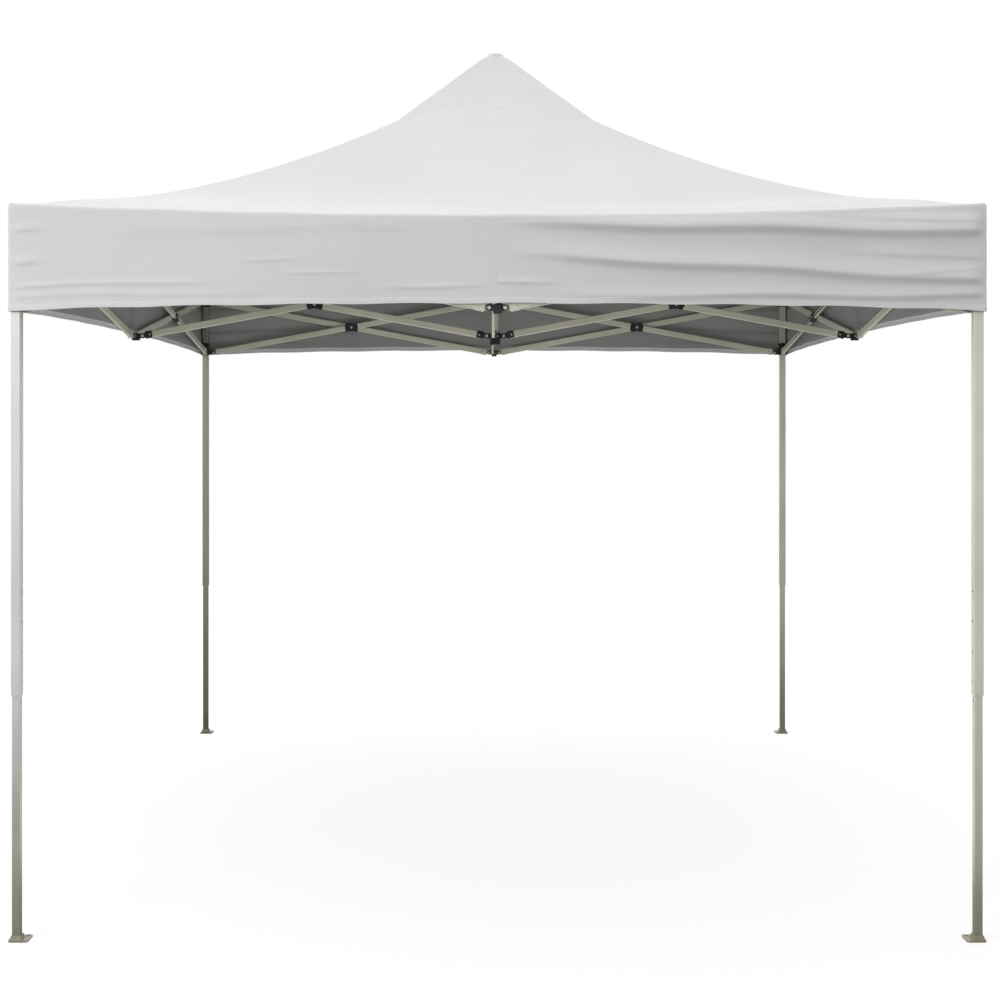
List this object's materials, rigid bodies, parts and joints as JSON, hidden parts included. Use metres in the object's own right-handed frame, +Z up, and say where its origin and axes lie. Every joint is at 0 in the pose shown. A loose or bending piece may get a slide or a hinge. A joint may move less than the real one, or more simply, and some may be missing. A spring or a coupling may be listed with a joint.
{
  "type": "pop up canopy",
  "caption": "Square pop up canopy with a peaked cloth roof and valances on a folding scissor frame with telescopic legs and a telescopic peak pole.",
  "frame": {"origin": "on the ground under the peak, in the middle of the four legs", "axes": "+Z up, +X to the right, front side at -Y"},
  "size_m": [3.016, 3.016, 3.113],
  "materials": {
    "frame_steel": "satin powder coat",
    "black_plastic": "moulded",
    "zinc": "zinc plated",
    "cloth": "coated polyester, dark underside"
  },
  "bodies": {
    "upper_hub": {"upper_hub": "black_plastic"},
    "hub_arm_upper_front": {"hub_arm_upper_front": "frame_steel"},
    "hub_arm_lower_front": {"hub_arm_lower_front": "frame_steel"},
    "mid_bracket_lower_front": {"mid_bracket_lower_front": "black_plastic"},
    "mid_bracket_upper_front": {"mid_bracket_upper_front": "black_plastic"},
    "lower_hub": {"lower_hub": "black_plastic"},
    "side_bar_rise_front_right": {"side_bar_rise_front_right": "frame_steel"},
    "side_bar_drop_front_right": {"side_bar_drop_front_right": "frame_steel"},
    "outer_leg_front_right": {"outer_leg_front_right": "frame_steel"},
    "slider_front_right": {"slider_front_right": "black_plastic"},
    "side_bar_rise_front_left": {"side_bar_rise_front_left": "frame_steel"},
    "side_bar_drop_front_left": {"side_bar_drop_front_left": "frame_steel"},
    "hub_arm_upper_right": {"hub_arm_upper_right": "frame_steel"},
    "hub_arm_lower_right": {"hub_arm_lower_right": "frame_steel"},
    "mid_bracket_lower_right": {"mid_bracket_lower_right": "black_plastic"},
    "mid_bracket_upper_right": {"mid_bracket_upper_right": "black_plastic"},
    "side_bar_rise_right_back": {"side_bar_rise_right_back": "frame_steel"},
    "side_bar_drop_right_back": {"side_bar_drop_right_back": "frame_steel"},
    "outer_leg_back_right": {"outer_leg_back_right": "frame_steel"},
    "slider_back_right": {"slider_back_right": "black_plastic"},
    "side_bar_rise_right_front": {"side_bar_rise_right_front": "frame_steel"},
    "side_bar_drop_right_front": {"side_bar_drop_right_front": "frame_steel"},
    "hub_arm_upper_back": {"hub_arm_upper_back": "frame_steel"},
    "hub_arm_lower_back": {"hub_arm_lower_back": "frame_steel"},
    "mid_bracket_lower_back": {"mid_bracket_lower_back": "black_plastic"},
    "mid_bracket_upper_back": {"mid_bracket_upper_back": "black_plastic"},
    "side_bar_rise_back_left": {"side_bar_rise_back_left": "frame_steel"},
    "side_bar_drop_back_left": {"side_bar_drop_back_left": "frame_steel"},
    "outer_leg_back_left": {"outer_leg_back_left": "frame_steel"},
    "slider_back_left": {"slider_back_left": "black_plastic"},
    "side_bar_rise_back_right": {"side_bar_rise_back_right": "frame_steel"},
    "side_bar_drop_back_right": {"side_bar_drop_back_right": "frame_steel"},
    "hub_arm_upper_left": {"hub_arm_upper_left": "frame_steel"},
    "hub_arm_lower_left": {"hub_arm_lower_left": "frame_steel"},
    "mid_bracket_lower_left": {"mid_bracket_lower_left": "black_plastic"},
    "mid_bracket_upper_left": {"mid_bracket_upper_left": "black_plastic"},
    "side_bar_rise_left_front": {"side_bar_rise_left_front": "frame_steel"},
    "side_bar_drop_left_front": {"side_bar_drop_left_front": "frame_steel"},
    "outer_leg_front_left": {"outer_leg_front_left": "frame_steel"},
    "slider_front_left": {"slider_front_left": "black_plastic"},
    "side_bar_rise_left_back": {"side_bar_rise_left_back": "frame_steel"},
    "side_bar_drop_left_back": {"side_bar_drop_left_back": "frame_steel"},
    "inner_leg_front_left": {"inner_leg_front_left": "frame_steel"},
    "leg_button_front_left": {"leg_button_front_left": "zinc"},
    "slider_button_front_left": {"slider_button_front_left": "zinc"},
    "inner_leg_front_right": {"inner_leg_front_right": "frame_steel"},
    "leg_button_front_right": {"leg_button_front_right": "zinc"},
    "slider_button_front_right": {"slider_button_front_right": "zinc"},
    "inner_leg_back_right": {"inner_leg_back_right": "frame_steel"},
    "leg_button_back_right": {"leg_button_back_right": "zinc"},
    "slider_button_back_right": {"slider_button_back_right": "zinc"},
    "inner_leg_back_left": {"inner_leg_back_left": "frame_steel"},
    "leg_button_back_left": {"leg_button_back_left": "zinc"},
    "slider_button_back_left": {"slider_button_back_left": "zinc"},
    "peak": {"peak_pole": "frame_steel", "canopy_crown": "cloth"},
    "canopy_front": {"canopy_front": "cloth"},
    "canopy_right": {"canopy_right": "cloth"},
    "canopy_back": {"canopy_back": "cloth"},
    "canopy_left": {"canopy_left": "cloth"}
  },
  "joints": [
    {"name": "frame_fold", "type": "hinge", "parent": "upper_hub", "child": "hub_arm_upper_front", "pos_m": [0, -0.035, 2.215], "axis": [1, 0, 0], "range_deg": [0, 76.5], "deforming": ["canopy_crown", "canopy_front", "canopy_right", "canopy_back", "canopy_left", "slider_button_front_left", "slider_button_front_right", "slider_button_back_right", "slider_button_back_left"]},
    {"name": "fold_hub_arm_lower_front", "type": "hinge", "parent": "hub_arm_upper_front", "child": "hub_arm_lower_front", "pos_m": [0, -0.744, 2.085], "axis": [-1, 0, 0], "range_deg": [-2, 155]},
    {"name": "fold_lower_hub", "type": "hinge", "parent": "hub_arm_lower_front", "child": "lower_hub", "pos_m": [0, -0.035, 1.955], "axis": [1, 0, 0], "range_deg": [-2, 78.5]},
    {"name": "fold_mid_bracket_lower_front", "type": "hinge", "parent": "hub_arm_upper_front", "child": "mid_bracket_lower_front", "pos_m": [0, -1.453, 1.955], "axis": [-1, 0, 0], "range_deg": [-2, 78.5]},
    {"name": "fold_side_bar_rise_front_right", "type": "hinge", "parent": "mid_bracket_lower_front", "child": "side_bar_rise_front_right", "pos_m": [0.025, -1.485, 1.955], "axis": [0, -1, 0], "range_deg": [-2, 78.5]},
    {"name": "fold_side_bar_drop_front_right", "type": "hinge", "parent": "side_bar_rise_front_right", "child": "side_bar_drop_front_right", "pos_m": [0.734, -1.485, 2.085], "axis": [0, 1, 0], "range_deg": [-2, 155]},
    {"name": "fold_outer_leg_front_right", "type": "hinge", "parent": "side_bar_rise_front_right", "child": "outer_leg_front_right", "pos_m": [1.443, -1.485, 2.215], "axis": [0, 1, 0], "range_deg": [-2, 78.5]},
    {"name": "fold_slider_front_right", "type": "hinge", "parent": "side_bar_drop_front_right", "child": "slider_front_right", "pos_m": [1.443, -1.485, 1.955], "axis": [0, -1, 0], "range_deg": [-2, 78.5]},
    {"name": "fold_side_bar_rise_front_left", "type": "hinge", "parent": "mid_bracket_lower_front", "child": "side_bar_rise_front_left", "pos_m": [-0.025, -1.485, 1.955], "axis": [0, 1, 0], "range_deg": [-2, 78.5]},
    {"name": "fold_side_bar_drop_front_left", "type": "hinge", "parent": "side_bar_rise_front_left", "child": "side_bar_drop_front_left", "pos_m": [-0.734, -1.485, 2.085], "axis": [0, -1, 0], "range_deg": [-2, 155]},
    {"name": "fold_mid_bracket_upper_front", "type": "hinge", "parent": "side_bar_drop_front_left", "child": "mid_bracket_upper_front", "pos_m": [-0.025, -1.485, 2.215], "axis": [0, 1, 0], "range_deg": [-2, 78.5]},
    {"name": "fold_hub_arm_upper_right", "type": "hinge", "parent": "upper_hub", "child": "hub_arm_upper_right", "pos_m": [0.035, 0, 2.215], "axis": [0, 1, 0], "range_deg": [-2, 78.5]},
    {"name": "fold_hub_arm_lower_right", "type": "hinge", "parent": "hub_arm_upper_right", "child": "hub_arm_lower_right", "pos_m": [0.744, 0, 2.085], "axis": [0, -1, 0], "range_deg": [-2, 155]},
    {"name": "fold_mid_bracket_lower_right", "type": "hinge", "parent": "hub_arm_upper_right", "child": "mid_bracket_lower_right", "pos_m": [1.453, 0, 1.955], "axis": [0, -1, 0], "range_deg": [-2, 78.5]},
    {"name": "fold_side_bar_rise_right_back", "type": "hinge", "parent": "mid_bracket_lower_right", "child": "side_bar_rise_right_back", "pos_m": [1.485, 0.025, 1.955], "axis": [1, 0, 0], "range_deg": [-2, 78.5]},
    {"name": "fold_side_bar_drop_right_back", "type": "hinge", "parent": "side_bar_rise_right_back", "child": "side_bar_drop_right_back", "pos_m": [1.485, 0.734, 2.085], "axis": [-1, 0, 0], "range_deg": [-2, 155]},
    {"name": "fold_outer_leg_back_right", "type": "hinge", "parent": "side_bar_rise_right_back", "child": "outer_leg_back_right", "pos_m": [1.485, 1.443, 2.215], "axis": [-1, 0, 0], "range_deg": [-2, 78.5]},
    {"name": "fold_slider_back_right", "type": "hinge", "parent": "side_bar_drop_right_back", "child": "slider_back_right", "pos_m": [1.485, 1.443, 1.955], "axis": [1, 0, 0], "range_deg": [-2, 78.5]},
    {"name": "fold_side_bar_rise_right_front", "type": "hinge", "parent": "mid_bracket_lower_right", "child": "side_bar_rise_right_front", "pos_m": [1.485, -0.025, 1.955], "axis": [-1, 0, 0], "range_deg": [-2, 78.5]},
    {"name": "fold_side_bar_drop_right_front", "type": "hinge", "parent": "side_bar_rise_right_front", "child": "side_bar_drop_right_front", "pos_m": [1.485, -0.734, 2.085], "axis": [1, 0, 0], "range_deg": [-2, 155]},
    {"name": "fold_mid_bracket_upper_right", "type": "hinge", "parent": "side_bar_drop_right_front", "child": "mid_bracket_upper_right", "pos_m": [1.485, -0.025, 2.215], "axis": [-1, 0, 0], "range_deg": [-2, 78.5]},
    {"name": "fold_hub_arm_upper_back", "type": "hinge", "parent": "upper_hub", "child": "hub_arm_upper_back", "pos_m": [0, 0.035, 2.215], "axis": [-1, 0, 0], "range_deg": [-2, 78.5]},
    {"name": "fold_hub_arm_lower_back", "type": "hinge", "parent": "hub_arm_upper_back", "child": "hub_arm_lower_back", "pos_m": [0, 0.744, 2.085], "axis": [1, 0, 0], "range_deg": [-2, 155]},
    {"name": "fold_mid_bracket_lower_back", "type": "hinge", "parent": "hub_arm_upper_back", "child": "mid_bracket_lower_back", "pos_m": [0, 1.453, 1.955], "axis": [1, 0, 0], "range_deg": [-2, 78.5]},
    {"name": "fold_side_bar_rise_back_left", "type": "hinge", "parent": "mid_bracket_lower_back", "child": "side_bar_rise_back_left", "pos_m": [-0.025, 1.485, 1.955], "axis": [0, 1, 0], "range_deg": [-2, 78.5]},
    {"name": "fold_side_bar_drop_back_left", "type": "hinge", "parent": "side_bar_rise_back_left", "child": "side_bar_drop_back_left", "pos_m": [-0.734, 1.485, 2.085], "axis": [0, -1, 0], "range_deg": [-2, 155]},
    {"name": "fold_outer_leg_back_left", "type": "hinge", "parent": "side_bar_rise_back_left", "child": "outer_leg_back_left", "pos_m": [-1.443, 1.485, 2.215], "axis": [0, -1, 0], "range_deg": [-2, 78.5]},
    {"name": "fold_slider_back_left", "type": "hinge", "parent": "side_bar_drop_back_left", "child": "slider_back_left", "pos_m": [-1.443, 1.485, 1.955], "axis": [0, 1, 0], "range_deg": [-2, 78.5]},
    {"name": "fold_side_bar_rise_back_right", "type": "hinge", "parent": "mid_bracket_lower_back", "child": "side_bar_rise_back_right", "pos_m": [0.025, 1.485, 1.955], "axis": [0, -1, 0], "range_deg": [-2, 78.5]},
    {"name": "fold_side_bar_drop_back_right", "type": "hinge", "parent": "side_bar_rise_back_right", "child": "side_bar_drop_back_right", "pos_m": [0.734, 1.485, 2.085], "axis": [0, 1, 0], "range_deg": [-2, 155]},
    {"name": "fold_mid_bracket_upper_back", "type": "hinge", "parent": "side_bar_drop_back_right", "child": "mid_bracket_upper_back", "pos_m": [0.025, 1.485, 2.215], "axis": [0, -1, 0], "range_deg": [-2, 78.5]},
    {"name": "fold_hub_arm_upper_left", "type": "hinge", "parent": "upper_hub", "child": "hub_arm_upper_left", "pos_m": [-0.035, 0, 2.215], "axis": [0, -1, 0], "range_deg": [-2, 78.5]},
    {"name": "fold_hub_arm_lower_left", "type": "hinge", "parent": "hub_arm_upper_left", "child": "hub_arm_lower_left", "pos_m": [-0.744, 0, 2.085], "axis": [0, 1, 0], "range_deg": [-2, 155]},
    {"name": "fold_mid_bracket_lower_left", "type": "hinge", "parent": "hub_arm_upper_left", "child": "mid_bracket_lower_left", "pos_m": [-1.453, 0, 1.955], "axis": [0, 1, 0], "range_deg": [-2, 78.5]},
    {"name": "fold_side_bar_rise_left_front", "type": "hinge", "parent": "mid_bracket_lower_left", "child": "side_bar_rise_left_front", "pos_m": [-1.485, -0.025, 1.955], "axis": [-1, 0, 0], "range_deg": [-2, 78.5]},
    {"name": "fold_side_bar_drop_left_front", "type": "hinge", "parent": "side_bar_rise_left_front", "child": "side_bar_drop_left_front", "pos_m": [-1.485, -0.734, 2.085], "axis": [1, 0, 0], "range_deg": [-2, 155]},
    {"name": "fold_outer_leg_front_left", "type": "hinge", "parent": "side_bar_rise_left_front", "child": "outer_leg_front_left", "pos_m": [-1.485, -1.443, 2.215], "axis": [1, 0, 0], "range_deg": [-2, 78.5]},
    {"name": "fold_slider_front_left", "type": "hinge", "parent": "side_bar_drop_left_front", "child": "slider_front_left", "pos_m": [-1.485, -1.443, 1.955], "axis": [-1, 0, 0], "range_deg": [-2, 78.5]},
    {"name": "fold_side_bar_rise_left_back", "type": "hinge", "parent": "mid_bracket_lower_left", "child": "side_bar_rise_left_back", "pos_m": [-1.485, 0.025, 1.955], "axis": [1, 0, 0], "range_deg": [-2, 78.5]},
    {"name": "fold_side_bar_drop_left_back", "type": "hinge", "parent": "side_bar_rise_left_back", "child": "side_bar_drop_left_back", "pos_m": [-1.485, 0.734, 2.085], "axis": [-1, 0, 0], "range_deg": [-2, 155]},
    {"name": "fold_mid_bracket_upper_left", "type": "hinge", "parent": "side_bar_drop_left_back", "child": "mid_bracket_upper_left", "pos_m": [-1.485, 0.025, 2.215], "axis": [1, 0, 0], "range_deg": [-2, 78.5]},
    {"name": "leg_slide_front_left", "type": "slide", "parent": "outer_leg_front_left", "child": "inner_leg_front_left", "axis": [0, 0, 1], "range_m": [0, 0.7], "stiffness_N_per_m": 400, "springref_m": -0.2232, "deforming": ["leg_button_front_left"]},
    {"name": "leg_button_press_front_left", "type": "slide", "parent": "inner_leg_front_left", "child": "leg_button_front_left", "axis": [-1, 0, 0], "range_m": [0, 0.0045]},
    {"name": "slider_button_press_front_left", "type": "slide", "parent": "outer_leg_front_left", "child": "slider_button_front_left", "axis": [-1, 0, 0], "range_m": [0, 0.0075]},
    {"name": "leg_slide_front_right", "type": "slide", "parent": "outer_leg_front_right", "child": "inner_leg_front_right", "axis": [0, 0, 1], "range_m": [0, 0.7], "stiffness_N_per_m": 400, "springref_m": -0.2232, "deforming": ["leg_button_front_right"]},
    {"name": "leg_button_press_front_right", "type": "slide", "parent": "inner_leg_front_right", "child": "leg_button_front_right", "axis": [1, 0, 0], "range_m": [0, 0.0045]},
    {"name": "slider_button_press_front_right", "type": "slide", "parent": "outer_leg_front_right", "child": "slider_button_front_right", "axis": [1, 0, 0], "range_m": [0, 0.0075]},
    {"name": "leg_slide_back_right", "type": "slide", "parent": "outer_leg_back_right", "child": "inner_leg_back_right", "axis": [0, 0, 1], "range_m": [0, 0.7], "stiffness_N_per_m": 400, "springref_m": -0.2232, "deforming": ["leg_button_back_right"]},
    {"name": "leg_button_press_back_right", "type": "slide", "parent": "inner_leg_back_right", "child": "leg_button_back_right", "axis": [1, 0, 0], "range_m": [0, 0.0045]},
    {"name": "slider_button_press_back_right", "type": "slide", "parent": "outer_leg_back_right", "child": "slider_button_back_right", "axis": [1, 0, 0], "range_m": [0, 0.0075]},
    {"name": "leg_slide_back_left", "type": "slide", "parent": "outer_leg_back_left", "child": "inner_leg_back_left", "axis": [0, 0, 1], "range_m": [0, 0.7], "stiffness_N_per_m": 400, "springref_m": -0.2232, "deforming": ["leg_button_back_left"]},
    {"name": "leg_button_press_back_left", "type": "slide", "parent": "inner_leg_back_left", "child": "leg_button_back_left", "axis": [-1, 0, 0], "range_m": [0, 0.0045]},
    {"name": "slider_button_press_back_left", "type": "slide", "parent": "outer_leg_back_left", "child": "slider_button_back_left", "axis": [-1, 0, 0], "range_m": [0, 0.0075]},
    {"name": "peak_drop", "type": "slide", "parent": "upper_hub", "child": "peak", "axis": [0, 0, -1], "range_m": [-0.02, 0.675]},
    {"name": "fold_canopy_front", "type": "hinge", "parent": "upper_hub", "child": "canopy_front", "pos_m": [0, 0.44642, 2.61038], "axis": [1, 0, 0], "range_deg": [-2, 55.74]},
    {"name": "fold_canopy_right", "type": "hinge", "parent": "upper_hub", "child": "canopy_right", "pos_m": [-0.44642, 0, 2.61038], "axis": [0, 1, 0], "range_deg": [-2, 55.74]},
    {"name": "fold_canopy_back", "type": "hinge", "parent": "upper_hub", "child": "canopy_back", "pos_m": [0, -0.44642, 2.61038], "axis": [-1, 0, 0], "range_deg": [-2, 55.74]},
    {"name": "fold_canopy_left", "type": "hinge", "parent": "upper_hub", "child": "canopy_left", "pos_m": [0.44642, 0, 2.61038], "axis": [0, -1, 0], "range_deg": [-2, 55.74]}
  ],
  "couplings": [
    {"joint": "fold_hub_arm_lower_front", "follows": "frame_fold", "ratio": 2},
    {"joint": "fold_lower_hub", "follows": "frame_fold", "ratio": 1},
    {"joint": "fold_mid_bracket_lower_front", "follows": "frame_fold", "ratio": 1},
    {"joint": "fold_side_bar_rise_front_right", "follows": "frame_fold", "ratio": 1},
    {"joint": "fold_side_bar_drop_front_right", "follows": "frame_fold", "ratio": 2},
    {"joint": "fold_outer_leg_front_right", "follows": "frame_fold", "ratio": 1},
    {"joint": "fold_slider_front_right", "follows": "frame_fold", "ratio": 1},
    {"joint": "fold_side_bar_rise_front_left", "follows": "frame_fold", "ratio": 1},
    {"joint": "fold_side_bar_drop_front_left", "follows": "frame_fold", "ratio": 2},
    {"joint": "fold_mid_bracket_upper_front", "follows": "frame_fold", "ratio": 1},
    {"joint": "fold_hub_arm_upper_right", "follows": "frame_fold", "ratio": 1},
    {"joint": "fold_hub_arm_lower_right", "follows": "frame_fold", "ratio": 2},
    {"joint": "fold_mid_bracket_lower_right", "follows": "frame_fold", "ratio": 1},
    {"joint": "fold_side_bar_rise_right_back", "follows": "frame_fold", "ratio": 1},
    {"joint": "fold_side_bar_drop_right_back", "follows": "frame_fold", "ratio": 2},
    {"joint": "fold_outer_leg_back_right", "follows": "frame_fold", "ratio": 1},
    {"joint": "fold_slider_back_right", "follows": "frame_fold", "ratio": 1},
    {"joint": "fold_side_bar_rise_right_front", "follows": "frame_fold", "ratio": 1},
    {"joint": "fold_side_bar_drop_right_front", "follows": "frame_fold", "ratio": 2},
    {"joint": "fold_mid_bracket_upper_right", "follows": "frame_fold", "ratio": 1},
    {"joint": "fold_hub_arm_upper_back", "follows": "frame_fold", "ratio": 1},
    {"joint": "fold_hub_arm_lower_back", "follows": "frame_fold", "ratio": 2},
    {"joint": "fold_mid_bracket_lower_back", "follows": "frame_fold", "ratio": 1},
    {"joint": "fold_side_bar_rise_back_left", "follows": "frame_fold", "ratio": 1},
    {"joint": "fold_side_bar_drop_back_left", "follows": "frame_fold", "ratio": 2},
    {"joint": "fold_outer_leg_back_left", "follows": "frame_fold", "ratio": 1},
    {"joint": "fold_slider_back_left", "follows": "frame_fold", "ratio": 1},
    {"joint": "fold_side_bar_rise_back_right", "follows": "frame_fold", "ratio": 1},
    {"joint": "fold_side_bar_drop_back_right", "follows": "frame_fold", "ratio": 2},
    {"joint": "fold_mid_bracket_upper_back", "follows": "frame_fold", "ratio": 1},
    {"joint": "fold_hub_arm_upper_left", "follows": "frame_fold", "ratio": 1},
    {"joint": "fold_hub_arm_lower_left", "follows": "frame_fold", "ratio": 2},
    {"joint": "fold_mid_bracket_lower_left", "follows": "frame_fold", "ratio": 1},
    {"joint": "fold_side_bar_rise_left_front", "follows": "frame_fold", "ratio": 1},
    {"joint": "fold_side_bar_drop_left_front", "follows": "frame_fold", "ratio": 2},
    {"joint": "fold_outer_leg_front_left", "follows": "frame_fold", "ratio": 1},
    {"joint": "fold_slider_front_left", "follows": "frame_fold", "ratio": 1},
    {"joint": "fold_side_bar_rise_left_back", "follows": "frame_fold", "ratio": 1},
    {"joint": "fold_side_bar_drop_left_back", "follows": "frame_fold", "ratio": 2},
    {"joint": "fold_mid_bracket_upper_left", "follows": "frame_fold", "ratio": 1},
    {"joint": "peak_drop", "follows": "frame_fold", "m_per_rad": 0.49057},
    {"joint": "fold_canopy_front", "follows": "frame_fold", "ratio": 0.70244},
    {"joint": "fold_canopy_right", "follows": "frame_fold", "ratio": 0.70244},
    {"joint": "fold_canopy_back", "follows": "frame_fold", "ratio": 0.70244},
    {"joint": "fold_canopy_left", "follows": "frame_fold", "ratio": 0.70244}
  ]
}
